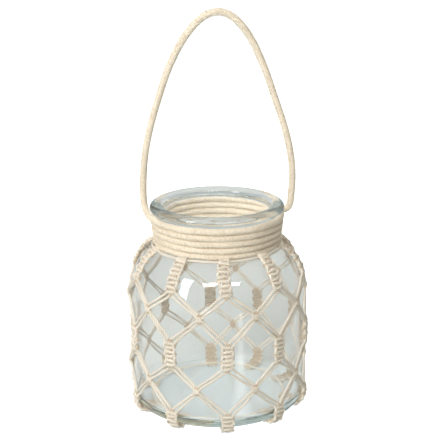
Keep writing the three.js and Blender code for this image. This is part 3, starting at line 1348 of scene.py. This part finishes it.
@dataclass(frozen=True)
class SoftBox:
    """One soft lamp, aimed at a place."""

    name: str
    role: Role
    place: tuple[float, float, float]
    target: tuple[float, float, float]
    size: tuple[float, float]
    power: float
    colour: tuple[float, float, float] = (1.0, 1.0, 1.0)
    spin: float = 0.0

    def build(self) -> bpy.types.Object:
        """Makes the lamp."""
        lamp = bpy.data.lights.new(self.name, "AREA")
        lamp.shape = "RECTANGLE"
        lamp.size, lamp.size_y = self.size
        lamp.energy = self.power
        lamp.color = self.colour
        obj = bpy.data.objects.new(self.name, lamp)
        way = Vector(self.target) - Vector(self.place)
        turn = way.to_track_quat("-Z", "Y").to_matrix().to_4x4()
        spin = Matrix.Rotation(math.radians(self.spin), 4, "Z")
        obj.matrix_world = Matrix.Translation(self.place) @ turn @ spin
        obj.visible_camera = False
        obj.visible_transmission = False
        obj.visible_glossy = self.role is Role.GLINT
        obj.visible_diffuse = self.role is Role.LIGHT
        bpy.context.scene.collection.objects.link(obj)
        return obj


@dataclass
class Studio:
    """The floor, the lamps, the surroundings and the camera. Places are metres."""

    camera_place: tuple[float, float, float] = (0.0004, -0.94327, 0.44728)
    camera_tilt: float = 15.905
    camera_roll: float = -0.371
    lens: float = 88.97
    floor_half: float = 9.0
    ambient: tuple[float, float, float] = (1.0, 0.91, 0.74)
    ambient_strength: float = 0.30
    low_tone: tuple[float, float, float] = (0.56, 0.64, 0.665)
    middle_tone: tuple[float, float, float] = (0.68, 0.745, 0.765)
    high_tone: tuple[float, float, float] = (1.0, 1.0, 1.0)
    board_tone: tuple[float, float, float] = (0.33, 0.40, 0.39)
    mirrored_strength: float = 0.9
    light_bounces: int = 24
    lamps: tuple[SoftBox, ...] = (
        SoftBox("key_lamp", Role.LIGHT, (-0.85, -1.45, 1.35), (0.0, 0.0, 0.12), (1.3, 1.3), 37.0, (1.0, 0.99, 0.975)),
        SoftBox("top_lamp", Role.LIGHT, (-0.2, 0.3, 1.7), (0.0, 0.0, 0.1), (1.3, 1.1), 4.0),
        SoftBox("back_lamp", Role.LIGHT, (0.55, 1.65, 1.0), (0.0, 0.0, 0.12), (1.2, 1.0), 11.0, (1.0, 0.99, 0.975)),
        SoftBox("tall_window", Role.GLINT, (-1.08, -1.04, 0.70), (0.0, 0.0, 0.13), (0.38, 1.15), 18.0),
        SoftBox("long_window", Role.GLINT, (0.15, -1.43, 1.21), (0.0, -0.07, 0.14), (1.5, 0.26), 18.0),
        *(
            SoftBox(name, Role.GLINT, (0.145, -0.294, height), (0.145, -0.294, 1.0), (width, 0.44), power, spin=-30.0)
            for name, height, width, power in (
                ("shine_wide", 0.001, 0.045, 0.070),
                ("shine_mid", 0.002, 0.031, 0.050),
                ("shine_core", 0.003, 0.016, 0.026),
            )
        ),
    )

    def build_camera(self) -> None:
        """Makes the camera and sets it as the scene's."""
        data = bpy.data.cameras.new("studio_camera")
        data.lens = self.lens
        camera = bpy.data.objects.new("studio_camera", data)
        tilt = Matrix.Rotation(math.pi / 2.0 - math.radians(self.camera_tilt), 4, "X")
        roll = Matrix.Rotation(math.radians(self.camera_roll), 4, "Z")
        camera.matrix_world = Matrix.Translation(self.camera_place) @ tilt @ roll
        bpy.context.scene.collection.objects.link(camera)
        bpy.context.scene.camera = camera

    def build_floor(self) -> None:
        """Makes the floor that the lantern stands on."""
        h = self.floor_half
        mesh = bpy.data.meshes.new("pale_floor")
        mesh.from_pydata([(-h, -h, 0.0), (h, -h, 0.0), (h, h, 0.0), (-h, h, 0.0)], [], [(0, 1, 2, 3)])
        mesh.materials.append(FloorFinish().material())
        floor = bpy.data.objects.new("pale_floor", mesh)
        bpy.context.scene.collection.objects.link(floor)

    def build_world(self) -> None:
        """Makes the surroundings: white where seen directly, and soft grey-blue in reflections and light."""
        world = bpy.data.worlds.new("studio")
        bpy.context.scene.world = world
        world.use_nodes = True
        sheet = NodeSheet(world.node_tree)
        path = sheet.add("ShaderNodeLightPath").outputs
        seen = sheet.add("ShaderNodeBackground", {"Color": (1.0, 1.0, 1.0, 1.0), "Strength": 1.0})
        soft = sheet.add("ShaderNodeBackground", {"Color": (*self.ambient, 1.0), "Strength": self.ambient_strength})
        way = sheet.add("ShaderNodeTexCoord").outputs["Generated"]
        parts = sheet.add("ShaderNodeSeparateXYZ", {0: way}).outputs
        low, middle, high, board = self.low_tone, self.middle_tone, self.high_tone, self.board_tone
        open_side = sheet.ramp(parts[2], (0.0, low), (0.35, middle), (1.0, high))
        stops = ((0.0, low), (0.22, low), (0.27, board), (0.35, board), (0.41, middle), (1.0, high))
        board_side = sheet.ramp(parts[2], *stops)
        tone = sheet.mixed(sheet.ranged(parts[1], (0.1, 0.4)), open_side, board_side)
        mirrored = sheet.add("ShaderNodeBackground", {"Color": tone, "Strength": self.mirrored_strength})
        lit = sheet.add("ShaderNodeMixShader", {0: path["Is Diffuse Ray"], 1: mirrored.outputs[0], 2: soft.outputs[0]})
        both = sheet.add("ShaderNodeMixShader", {0: path["Is Camera Ray"], 1: lit.outputs[0], 2: seen.outputs[0]})
        sheet.add("ShaderNodeOutputWorld", {"Surface": both.outputs[0]})

    def build(self) -> None:
        """Makes everything but the camera, which comes first."""
        self.build_floor()
        self.build_world()
        for lamp in self.lamps:
            lamp.build()
        bpy.context.scene.view_settings.view_transform = "Standard"
        paths = bpy.context.scene.cycles
        paths.max_bounces = self.light_bounces
        paths.glossy_bounces = self.light_bounces
        paths.transmission_bounces = self.light_bounces
        paths.transparent_max_bounces = self.light_bounces


def main() -> None:
    """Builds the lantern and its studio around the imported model, and reports each piece."""
    logging.basicConfig(level=logging.INFO, format="%(message)s")
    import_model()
    studio = Studio()
    studio.build_camera()
    outline = JarOutline.from_frame()
    rope = Rope(outline).build(ROPE_COTTON)
    jar = Jar(outline).build(GlassFinish())
    net = Net(outline).build(NET_COTTON)
    studio.build()
    for piece in [*rope, jar, *net]:
        log.info("%s: %d faces", piece.name, len(piece.data.polygons))


if __name__ == "__main__":
    main()
